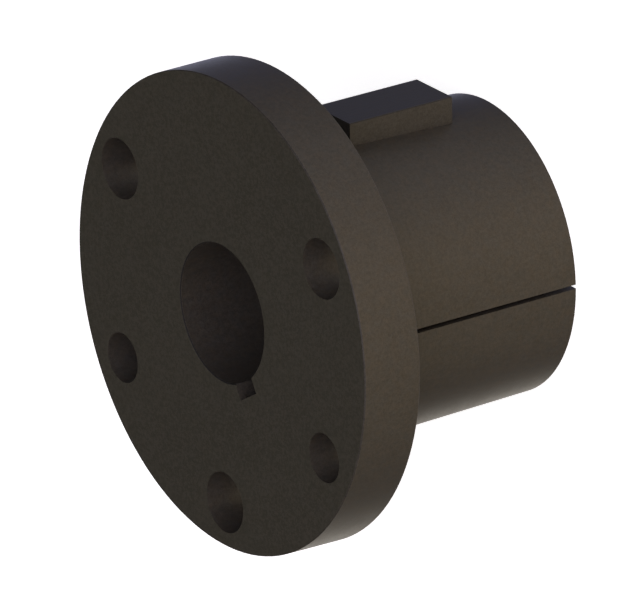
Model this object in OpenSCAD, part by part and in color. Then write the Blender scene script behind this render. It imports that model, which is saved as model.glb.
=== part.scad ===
// Flanged taper bush with a split barrel and a drive key seated in its outside, in millimetres.
// It stands on the barrel's small end. The bore lies on Z, the slit faces +X and the key faces +Y.

/* [Barrel] */
// Overall length, from the barrel's small end to the flange's outer face
length = 49.7; // [44:0.1:70]
// Diameter of the barrel at its large end, where it meets the flange
barrel_d = 49.3; // [46:0.1:62]
// Length of barrel over which its diameter changes by one millimetre
taper_run = 16; // [12:1:24]
// Radius of the fillet between the barrel and the flange
root_r = 0.8; // [0.3:0.1:1.2]
// Width of the sawn slit through the barrel's wall
slit_w = 0.7; // [0.5:0.1:2.5]
// Metal left between the end of the slit and the flange
slit_land = 1; // [0.2:0.1:4]

/* [Flange] */
// Thickness of the flange
flange_t = 10.3; // [7:0.1:14]
// Metal between a screw hole and the flange's rim
rim_wall = 2.3; // [1.5:0.1:8]

/* [Bore] */
// Diameter of the shaft bore
bore_d = 22.2; // [12:0.1:27]
// Width of the keyway in the bore
keyway_w = 4.76; // [2:0.01:7]
// Depth of the keyway, from the top of the bore's wall to its floor
keyway_depth = 2.38; // [1:0.01:3.5]

/* [Screw holes] */
// Number of clearance holes for the clamping screws
screw_count = 3; // [3:1:5]
// Diameter of a clearance hole
screw_hole_d = 9.7; // [6:0.1:12]
// Metal between the barrel and a clearance hole
screw_room = 1.45; // [1.3:0.05:5]
// Number of jacking holes, each midway between two clearance holes
jack_count = 2; // [1:1:3]
// Diameter of a jacking hole, over the roots of its thread
jack_hole_d = 7.94; // [5:0.01:10]

/* [Drive key] */
// Width of the key
key_w = 9.5; // [5:0.1:13]
// Height of the key, from its seat to its top
key_h = 6.35; // [4.5:0.05:8]
// Length of the key
key_len = 19.05; // [10:0.05:24]
// Distance from the barrel's small end to the key
key_setback = 9.65; // [3:0.05:13]
// Depth of the key's seat, from the barrel's surface at the middle of the key
key_seat_depth = 2.8; // [1.5:0.1:4.2]
// Clearance on each side and each end of the key in its seat
key_fit = 0.02; // [0.01:0.01:0.1]

/* [Placement] */
// Direction of the slit
slit_angle = 0; // [0:5:20]
// Direction of the drive key
key_angle = 90; // [60:5:120]
// Direction of the keyway in the bore
keyway_angle = 300; // [280:5:330]
// Direction of the first clearance hole
screw_angle = 30; // [0:5:60]

/* [Edges] */
// Size of the break on the turned edges and on the key's long edges
edge_break = 0.15; // [0.05:0.05:0.4]

/* [Hidden] */
$fn = 96;
fillet_steps = 8;
over = 1;

barrel_len = length - flange_t;
bolt_circle_d = barrel_d + 2 * screw_room + screw_hole_d;
flange_d = bolt_circle_d + screw_hole_d + 2 * rim_wall;
flange_r = flange_d / 2;
bore_r = bore_d / 2;
taper_angle = atan(1 / (2 * taper_run));
screw_pitch = 360 / screw_count;

// Radius of the tapered barrel at a height above its small end
function barrel_r(z) = barrel_d / 2 - (barrel_len - z) / (2 * taper_run);

key_mid_z = key_setback + key_len / 2;
key_floor = barrel_r(key_mid_z) - key_seat_depth;

iron_colour = [0.24, 0.22, 0.20];
key_colour = [0.27, 0.26, 0.27];

// Fillet arc in the barrel's root, tangent to the taper and to the flange's back
function root_arc() =
    let (centre_z = barrel_len - root_r)
    let (centre_r = barrel_r(centre_z) + root_r / cos(taper_angle))
    let (start = 180 - taper_angle)
    [for (i = [0 : fillet_steps])
        let (a = start + (90 - start) * i / fillet_steps)
        [centre_r + root_r * cos(a), centre_z + root_r * sin(a)]];

// Outline of the turned blank, from the axis at the small end to the axis at the outer face
function blank_outline() = concat(
    [[0, 0], [barrel_r(0) - edge_break, 0], [barrel_r(edge_break), edge_break]],
    root_arc(),
    [[flange_r - edge_break, barrel_len], [flange_r, barrel_len + edge_break]],
    [[flange_r, length - edge_break], [flange_r - edge_break, length], [0, length]]);

module turned_blank() {
    rotate_extrude()
        polygon(blank_outline());
}

// The shaft bore, with its edges broken at both mouths
module bore_cut() {
    translate([0, 0, -over])
        cylinder(d = bore_d, h = length + 2 * over);
    for (flip = [0, 1])
        translate([0, 0, flip * length])
            mirror([0, 0, flip])
                translate([0, 0, -over])
                    cylinder(r1 = bore_r + edge_break + over, r2 = bore_r, h = over + edge_break);
}

// The keyway, broached through the whole bore
module keyway_cut() {
    rotate([0, 0, keyway_angle])
        translate([0, -keyway_w / 2, -over])
            cube([bore_r + keyway_depth, keyway_w, length + 2 * over]);
}

// The slit, sawn from the small end through one side of the barrel
module slit_cut() {
    rotate([0, 0, slit_angle])
        translate([0, -slit_w / 2, -over])
            cube([barrel_d / 2 + root_r + over, slit_w, barrel_len - slit_land + over]);
}

// One hole drilled through the flange on the bolt circle
module flange_hole(angle, diameter) {
    rotate([0, 0, angle])
        translate([bolt_circle_d / 2, 0, barrel_len - over])
            cylinder(d = diameter, h = flange_t + 2 * over);
}

module screw_holes() {
    for (i = [0 : screw_count - 1])
        flange_hole(screw_angle + i * screw_pitch, screw_hole_d);
}

module jack_holes() {
    for (i = [1 : jack_count])
        flange_hole(screw_angle + (i + 0.5) * screw_pitch, jack_hole_d);
}

// The seat milled into the barrel's outside, which the drive key fills from end to end
module key_seat() {
    seat_w = key_w + 2 * key_fit;
    rotate([0, 0, key_angle])
        translate([key_floor, -seat_w / 2, key_setback - key_fit])
            cube([key_h + over, seat_w, key_len + 2 * key_fit]);
}

// The bush itself: turned, bored, broached, drilled, milled and sawn from one blank
module bush_body() {
    color(iron_colour)
        difference() {
            turned_blank();
            bore_cut();
            keyway_cut();
            slit_cut();
            screw_holes();
            jack_holes();
            key_seat();
        }
}

// Section of the key's bar, standing on its seat with its four long edges broken
module key_section() {
    half = key_w / 2;
    e = edge_break;
    polygon([
        [0, -half + e], [e, -half], [key_h - e, -half], [key_h, -half + e],
        [key_h, half - e], [key_h - e, half], [e, half], [0, half - e]
    ]);
}

// The drive key: a square-ended bar that stands out of the barrel to drive the hub
module drive_key() {
    color(key_colour)
        rotate([0, 0, key_angle])
            translate([key_floor, 0, key_setback])
                linear_extrude(height = key_len)
                    key_section();
}

bush_body();
drive_key();
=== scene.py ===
import math

import bmesh
import bpy
from mathutils import Matrix, Vector


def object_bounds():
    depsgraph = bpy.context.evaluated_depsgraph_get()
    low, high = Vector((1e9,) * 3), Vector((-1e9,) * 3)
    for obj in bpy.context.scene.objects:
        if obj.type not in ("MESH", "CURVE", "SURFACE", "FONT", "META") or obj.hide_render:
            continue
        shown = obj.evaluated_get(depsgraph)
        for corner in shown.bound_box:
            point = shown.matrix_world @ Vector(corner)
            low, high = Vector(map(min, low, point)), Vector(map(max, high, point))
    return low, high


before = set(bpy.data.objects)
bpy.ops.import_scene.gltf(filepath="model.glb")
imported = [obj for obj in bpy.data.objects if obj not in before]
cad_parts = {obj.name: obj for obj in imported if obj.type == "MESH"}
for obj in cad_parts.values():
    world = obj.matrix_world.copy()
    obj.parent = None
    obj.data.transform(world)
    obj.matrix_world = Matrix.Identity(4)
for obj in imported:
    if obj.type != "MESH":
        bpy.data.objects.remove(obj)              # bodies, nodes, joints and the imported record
cadLow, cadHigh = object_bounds()
print("frame loaded:", ", ".join(sorted(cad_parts)))

scene = bpy.context.scene
scene.view_settings.view_transform = "Standard"
scene.view_settings.look = "None"

mm = 0.001         # Blender's unit is the metre
noiseMiddle = 0.5  # Blender's noise varies round this value


# shader maths: a Wire is one output socket, and an expression on it adds Math nodes

class Wire:
    def __init__(self, nodes, socket):
        self.nodes = nodes
        self.socket = socket

    def maths(self, operation, *values):
        return self.nodes.add("ShaderNodeMath", {"operation": operation}, dict(enumerate(values)))

    def out(self, name):  # another output of the same node
        return Wire(self.nodes, self.socket.node.outputs[name])

    def __add__(self, other):
        return self.maths("ADD", self, other)

    def __radd__(self, other):
        return self.maths("ADD", other, self)

    def __sub__(self, other):
        return self.maths("SUBTRACT", self, other)

    def __rsub__(self, other):
        return self.maths("SUBTRACT", other, self)

    def __mul__(self, other):
        return self.maths("MULTIPLY", self, other)

    def __rmul__(self, other):
        return self.maths("MULTIPLY", other, self)

    def __abs__(self):
        return self.maths("ABSOLUTE", self)

    def root(self):
        return self.maths("SQRT", self)

    def power(self, exponent):
        return self.maths("POWER", self, exponent)

    def atLeast(self, other):
        return self.maths("MAXIMUM", self, other)

    def atMost(self, other):
        return self.maths("MINIMUM", self, other)

    def clamped(self):
        return self.atLeast(0.0).atMost(1.0)

    def step(self, start, end):  # 0 at start, 1 at end, smooth between
        return self.nodes.add("ShaderNodeMapRange", {"interpolation_type": "SMOOTHSTEP"},
                              {"Value": self, "From Min": start, "From Max": end})


class Nodes:  # the node tree of one material, or of the sky
    def __init__(self, name, store):
        self.block = store.new(name)
        self.block.use_nodes = True
        self.tree = self.block.node_tree
        self.tree.nodes.clear()

    def add(self, kind, settings, sockets, out=0):
        made = self.tree.nodes.new(kind)
        for key, value in settings.items():
            setattr(made, key, value)
        for key, value in sockets.items():
            if isinstance(value, Wire):
                self.tree.links.new(value.socket, made.inputs[key])
            else:
                made.inputs[key].default_value = value
        return Wire(self, made.outputs[out]) if len(made.outputs) else None

    def noise(self, vector, size, detail, rough):  # blotches of about this size, centred on 0
        blotches = self.add("ShaderNodeTexNoise", {"noise_dimensions": "3D"}, {
            "Vector": vector, "Scale": 1.0 / size, "Detail": detail, "Roughness": rough})
        return blotches - noiseMiddle

    def lines(self, along, size, detail):  # streaks across the value given, centred on 0
        streaks = self.add("ShaderNodeTexNoise", {"noise_dimensions": "1D"}, {
            "W": along, "Scale": 1.0 / size, "Detail": detail})
        return streaks - noiseMiddle

    def lean(self, axis):  # how much of the surface's normal points along an axis, either way
        facing = self.add("ShaderNodeNewGeometry", {}, {}, "Normal")
        return abs(self.add("ShaderNodeSeparateXYZ", {}, {0: facing}, axis))

    def mix(self, factor, first, second):  # two colours
        return self.add("ShaderNodeMix", {"data_type": "RGBA"}, {0: factor, 6: first, 7: second}, 2)

    def tinted(self, colour, tint):  # a colour multiplied by another
        return self.add("ShaderNodeMix", {"data_type": "RGBA", "blend_type": "MULTIPLY"},
                        {0: 1.0, 6: colour, 7: tint}, 2)

    def scaled(self, colour, amount):  # a colour made lighter or darker
        return self.add("ShaderNodeVectorMath", {"operation": "SCALE"}, {0: colour, "Scale": amount})

    def sum(self, first, second):
        return self.add("ShaderNodeVectorMath", {"operation": "ADD"}, {0: first, 1: second})


def paint(red, green, blue):
    return (red, green, blue, 1.0)


black = paint(0, 0, 0)
white = paint(1, 1, 1)


# the camera, fitted to the photograph: no perspective, rolled so that the bore's axis runs to the right

cameraFit = {
    "pixelsPerMm": 6.547,
    "imageWidth": 643,
    "right": (0.57366, -0.01475, -0.81896),  # the picture's right and up, in the part's frame
    "up": (-0.28585, 0.93337, -0.21705),
    "facePlace": (-99.45, -6.3),  # the outer face's middle, in pixels right and up of the picture's
    "away": 1.0,
    "clip": (0.05, 50.0),
}


def makeCamera(fit):
    right, up = Vector(fit["right"]).normalized(), Vector(fit["up"])
    up = (up - right * right.dot(up)).normalized()
    back = right.cross(up)
    pixel = mm / fit["pixelsPerMm"]
    across, above = fit["facePlace"]
    aim = Vector((0, 0, cadHigh.z)) - (right * across + up * above) * pixel
    data = bpy.data.cameras.new("camera")
    data.type = "ORTHO"
    data.ortho_scale = fit["imageWidth"] * pixel
    data.clip_start, data.clip_end = fit["clip"]
    camera = bpy.data.objects.new("camera", data)
    turn = Matrix((right, up, back)).transposed().to_4x4()
    camera.matrix_world = Matrix.Translation(aim + back * fit["away"]) @ turn
    scene.collection.objects.link(camera)
    scene.camera = camera
    print("camera set, %.4f m across the picture" % data.ortho_scale)


makeCamera(cameraFit)


# the studio: a pale floor, a pale backdrop, and soft light from patches of sky

floorLook = {
    "radius": 4.0,
    "sides": 128,
    "colour": paint(0.9, 0.9, 0.9),
    "roughness": 0.9,
    "glow": 0.78,  # the sky's light comes on top of it
    "paintedShadeWithin": (12 * mm, 20 * mm),  # painted shade under the bore, where little light gets in: from no glow to full
}
backdropLook = {
    "radius": 4.5,
    "sides": 64,
    "rings": 32,
    "colour": black,
    "roughness": 0.9,
    "glow": 1.0,
}
# twelve patches were fitted to the photograph's tones by least squares, and seven of these were then
# changed; "upper outline, inner" and "both outlines" were added
skyLook = {
    "all round": (0.070, 0.070, 0.070),
    "patches": {  # azimuth, elevation, spread (higher is a smaller patch), colour
        "main, high": (25, 42, 6, (2.25, 2.13, 2.46)),
        "main, level": (25, 2, 6, (0.54, 0.45, 0.48)),
        "main, low": (25, -42, 6, (0.96, 0.75, 0.40)),
        "key side, low": (83, -42, 8, (0.57, 0.55, 0.54)),
        "slit side, high": (325, 42, 6, (0.33, 0.28, 0.32)),
        "slit side, level": (340, 2, 6, (1.00, 0.81, 0.45)),
        "slit side, low": (305, -32, 24, (0.38, 0.32, 0.21)),
        "behind, level": (205, 2, 6, (0.27, 0.26, 0.12)),
        "below": (0, -90, 6, (0.65, 0.60, 0.68)),
        "upper outline": (193, -29, 36, (0.61, 0.64, 0.98)),
        "upper outline, inner": (155, -32, 24, (0.05, 0.07, 0.20)),
        "both outlines": (205, -32, 60, (0.45, 0.45, 0.50)),
        "lower outline": (225, -29, 24, (1.05, 0.98, 0.88)),
        "lower outline, inner": (245, -29, 24, (0.26, 0.23, 0.19)),
    },
}


def stageObject(name, shell, look):
    mesh = bpy.data.meshes.new(name)
    shell.to_mesh(mesh)
    shell.free()
    made = bpy.data.objects.new(name, mesh)
    scene.collection.objects.link(made)
    card = Nodes(name, bpy.data.materials)
    lit = white
    # on the floor the glow fades out under the bore: a painted shadow
    if "paintedShadeWithin" in look:
        place = card.add("ShaderNodeTexCoord", {}, {}, "Object")
        outwards = card.add("ShaderNodeVectorMath", {"operation": "LENGTH"}, {0: place}, "Value")
        lit = outwards.step(*look["paintedShadeWithin"])
    face = card.add("ShaderNodeBsdfPrincipled", {}, {
        "Base Color": look["colour"], "Roughness": look["roughness"], "Specular IOR Level": 0.0,
        "Emission Color": lit, "Emission Strength": look["glow"]})
    card.add("ShaderNodeOutputMaterial", {}, {"Surface": face})
    mesh.materials.append(card.block)
    # the sky alone lights the part
    made.visible_diffuse = made.visible_glossy = made.visible_shadow = False


def makeFloor(look):
    disc = bmesh.new()
    bmesh.ops.create_circle(disc, cap_ends=True, segments=look["sides"], radius=look["radius"])
    stageObject("floor", disc, look)


def makeBackdrop(look):
    drum = bmesh.new()
    bmesh.ops.create_uvsphere(
        drum, u_segments=look["sides"], v_segments=look["rings"], radius=look["radius"])
    stageObject("backdrop", drum, look)


def makeSky(look):
    sky = Nodes("studio", bpy.data.worlds)
    way = sky.add("ShaderNodeTexCoord", {}, {}, "Generated")
    light = look["all round"]
    for azimuth, elevation, spread, colour in look["patches"].values():
        turn, rise = math.radians(azimuth), math.radians(elevation)
        middle = (math.cos(turn) * math.cos(rise), math.sin(turn) * math.cos(rise), math.sin(rise))
        near = sky.add("ShaderNodeVectorMath", {"operation": "DOT_PRODUCT"}, {0: way, 1: middle}, "Value")
        light = sky.sum(light, sky.scaled(colour, near.atLeast(0.0).power(spread)))
    shine = sky.add("ShaderNodeBackground", {}, {"Color": light, "Strength": 1.0})
    sky.add("ShaderNodeOutputWorld", {}, {"Surface": shine})
    scene.world = sky.block


makeFloor(floorLook)
makeBackdrop(backdropLook)
makeSky(skyLook)
print("floor, backdrop and a sky of", len(skyLook["patches"]), "soft patches made")


# what both finishes share: their marks, the hue of the blackening, the broken edges and the shader

def marks(coat, place, look, names):  # one noise for each name
    return [coat.noise(place, *look[name]) for name in names]


def between(mask, values):  # the first value where the mask is 0, the second where it is 1
    first, second = values
    return first + mask * (second - first)


def stained(coat, colour, amount, look):  # browner where the amount is below 0, greyer above
    tint = coat.mix((0.5 + amount).clamped(), look["browner"], look["greyer"])
    return coat.tinted(colour, tint)


def brokenEdge(lean, look):  # 1 on the slanting surfaces, from how much their normal leans along an axis
    rising, falling = look["chamfer"]
    return lean.step(*rising) * lean.step(*falling)


def endFinish(coat, look, colour, rough, height):
    bump = coat.add("ShaderNodeBump", {}, {
        "Strength": look["bump"], "Distance": look["bumpDepth"], "Height": height})
    shader = coat.add("ShaderNodeBsdfPrincipled", {}, {
        "Base Color": colour, "Roughness": rough, "Normal": bump, "Specular IOR Level": look["specular"]})
    coat.add("ShaderNodeOutputMaterial", {}, {"Surface": shader})
    return coat.block


# the bush: cast iron, turned all over and blackened

bushLook = {
    "colour": paint(0.0250, 0.0223, 0.0185),
    "paler": paint(0.0450, 0.0397, 0.0327),
    "tone": 0.48,  # 0 is the colour above, 1 the paler one
    "browner": paint(1.05, 1.00, 0.94),  # tints that the colour is multiplied by
    "greyer": paint(0.95, 1.00, 1.06),
    "rubbed": paint(0.0620, 0.0560, 0.0480),
    "roughness": 0.42,
    "specular": 0.40,

    "grain": (0.22 * mm, 2.0, 0.6),  # each mark's size, and its noise's detail and roughness
    "speck": (0.55 * mm, 2.0, 0.5),
    "stain": (1.2 * mm, 3.0, 0.6),
    "mottle": (3.0 * mm, 3.0, 0.5),
    "patch": (18 * mm, 2.0, 0.5),
    "wear": (2.5 * mm, 4.0, 0.7),
    "lay": (0.22 * mm, 2.0),  # the turning marks: their spacing and detail

    "grainTone": (1.8, 4.4),  # how strongly it shows, on the turned sides and on the flat faces
    "speckTone": (1.5, 3.6),
    "stainTone": (3.0, 1.0),
    "mottleTone": 0.4,
    "patchTone": 0.3,
    "layTone": 0.2,

    "grainRough": 0.20,
    "speckRough": 0.12,
    "mottleRough": 0.10,
    "layRough": 0.08,

    "bump": 0.05,
    "bumpDepth": 0.2 * mm,
    "grainBump": 0.6,
    "layBump": 0.25,

    "flat": (0.6, 0.9),  # how far the normal leans along the bore: from a side to a flat face
    "chamfer": ((0.35, 0.6), (0.95, 0.85)),  # and on the broken edges: where they start and end
    "rim": (36 * mm, 37 * mm),  # the radius where the rim's own edges begin
    "chamferPaintedShade": (0.8, 0.2),  # how much painted shade darkens the broken edges, inside and on the rim, to hide their highlight
    "chamferRough": (0.35, 0.15),

    "rimShare": 0.95,  # to find the turned edges: the rim is past this share of the largest radius
    "endDepth": 0.3 * mm,  # and the barrel's end is within this height
    "edgeWidth": 0.4 * mm,
    "edgeWear": 0.25,
    "edgeSmooth": 0.06,
    "wornFrom": (-0.05, 0.15),  # the edges are rubbed where the wear's noise is past this
}


def turnedEdges(mesh, look):  # radius and height of each outer turned edge, read from the bush itself
    corners = [(math.hypot(corner.co.x, corner.co.y), corner.co.z) for corner in mesh.vertices]
    rim = max(radius for radius, height in corners)
    flangeBack = min(height for radius, height in corners if radius > look["rimShare"] * rim)
    barrelEnd = max(radius for radius, height in corners if height < look["endDepth"])
    return [(rim, cadHigh.z), (rim, flangeBack), (barrelEnd, cadLow.z)]


def distanceToEdges(edges, radius, z):  # to the nearest of them
    nearest = None
    for edgeRadius, edgeHeight in edges:
        outwards, upwards = radius - edgeRadius, z - edgeHeight
        distance = (outwards * outwards + upwards * upwards).root()
        nearest = nearest.atMost(distance) if nearest else distance
    return nearest


def blackenedIron(look, edges):
    coat = Nodes("blackened_iron", bpy.data.materials)
    place = coat.add("ShaderNodeTexCoord", {}, {}, "Object")
    x = coat.add("ShaderNodeSeparateXYZ", {}, {0: place})
    y, z = x.out("Y"), x.out("Z")
    radius = (x * x + y * y).root()
    lean = coat.lean("Z")
    flat = lean.step(*look["flat"])
    onRim = radius.step(*look["rim"])
    chamfer = brokenEdge(lean, look)
    rubbing = coat.noise(place, *look["wear"]).step(*look["wornFrom"])
    worn = distanceToEdges(edges, radius, z).step(look["edgeWidth"], 0.0) * rubbing

    grain, speck, stain, mottle, patch = marks(
        coat, place, look, ("grain", "speck", "stain", "mottle", "patch"))
    lay = coat.lines(radius * flat + z * (1.0 - flat), *look["lay"])  # round the axis everywhere

    tone = look["tone"] + grain * between(flat, look["grainTone"])
    tone = tone + speck * between(flat, look["speckTone"]) + mottle * look["mottleTone"]
    tone = tone + patch * look["patchTone"] + lay * look["layTone"]
    colour = coat.mix(tone.clamped(), look["colour"], look["paler"])
    # painted shade on the broken edges, where the light would show them as pale lines
    colour = coat.mix(chamfer * between(onRim, look["chamferPaintedShade"]), colour, black)
    colour = stained(coat, colour, stain * between(flat, look["stainTone"]), look)
    colour = coat.mix(worn * look["edgeWear"], colour, look["rubbed"])

    rough = look["roughness"] + grain * look["grainRough"] + speck * look["speckRough"]
    rough = rough + mottle * look["mottleRough"] + lay * look["layRough"]
    rough = rough + chamfer * between(onRim, look["chamferRough"]) - worn * look["edgeSmooth"]
    return endFinish(coat, look, colour, rough, grain * look["grainBump"] + lay * look["layBump"])


# the drive key: drawn steel bar, blackened with the bush

keyLook = {
    "colour": paint(0.0218, 0.0200, 0.0180),
    "paler": paint(0.0371, 0.0338, 0.0303),
    "tone": 0.48,
    "browner": paint(1.05, 1.00, 0.94),
    "greyer": paint(0.95, 1.00, 1.06),
    "roughness": 0.42,
    "specular": 0.38,

    "grain": (0.22 * mm, 2.0, 0.6),
    "speck": (0.55 * mm, 2.0, 0.5),
    "stain": (1.2 * mm, 3.0, 0.6),
    "draw": (0.25 * mm, 2.0, 0.5),
    "drawStretch": (1.0, 1.0, 0.03),  # the drawing marks run along the bar

    "grainTone": 3.0,
    "speckTone": 1.8,
    "stainTone": 1.5,
    "drawTone": 0.6,

    "grainRough": 0.20,
    "speckRough": 0.12,
    "drawRough": 0.10,

    "bump": 0.06,
    "bumpDepth": 0.2 * mm,
    "grainBump": 0.5,
    "drawBump": 0.5,

    "chamfer": ((0.35, 0.6), (0.95, 0.85)),
    # painted shade on the broken edges, to hide their highlight
    "chamferPaintedShade": 0.35,
    "chamferRough": 0.30,
}


def blackenedSteel(look):
    coat = Nodes("blackened_steel", bpy.data.materials)
    place = coat.add("ShaderNodeTexCoord", {}, {}, "Object")
    drawn = coat.add("ShaderNodeMapping", {"vector_type": "POINT"}, {
        "Vector": place, "Scale": look["drawStretch"]})
    chamfer = brokenEdge(coat.lean("X"), look)
    grain, speck, stain = marks(coat, place, look, ("grain", "speck", "stain"))
    draw = coat.noise(drawn, *look["draw"])

    tone = look["tone"] + grain * look["grainTone"] + speck * look["speckTone"]
    tone = tone + draw * look["drawTone"]
    colour = coat.mix(tone.clamped(), look["colour"], look["paler"])
    # painted shade on the broken edges, where the light would show them as pale lines
    colour = coat.mix(chamfer * look["chamferPaintedShade"], colour, black)
    colour = stained(coat, colour, stain * look["stainTone"], look)

    rough = look["roughness"] + grain * look["grainRough"] + speck * look["speckRough"]
    rough = rough + draw * look["drawRough"] + chamfer * look["chamferRough"]
    return endFinish(coat, look, colour, rough, grain * look["grainBump"] + draw * look["drawBump"])


finishes = {
    "bush_body": blackenedIron(bushLook, turnedEdges(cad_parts["bush_body"].data, bushLook)),
    "drive_key": blackenedSteel(keyLook),
}
for nodeName, material in finishes.items():
    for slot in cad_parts[nodeName].material_slots:
        slot.material = material
print("finishes on", len(finishes), "pieces")
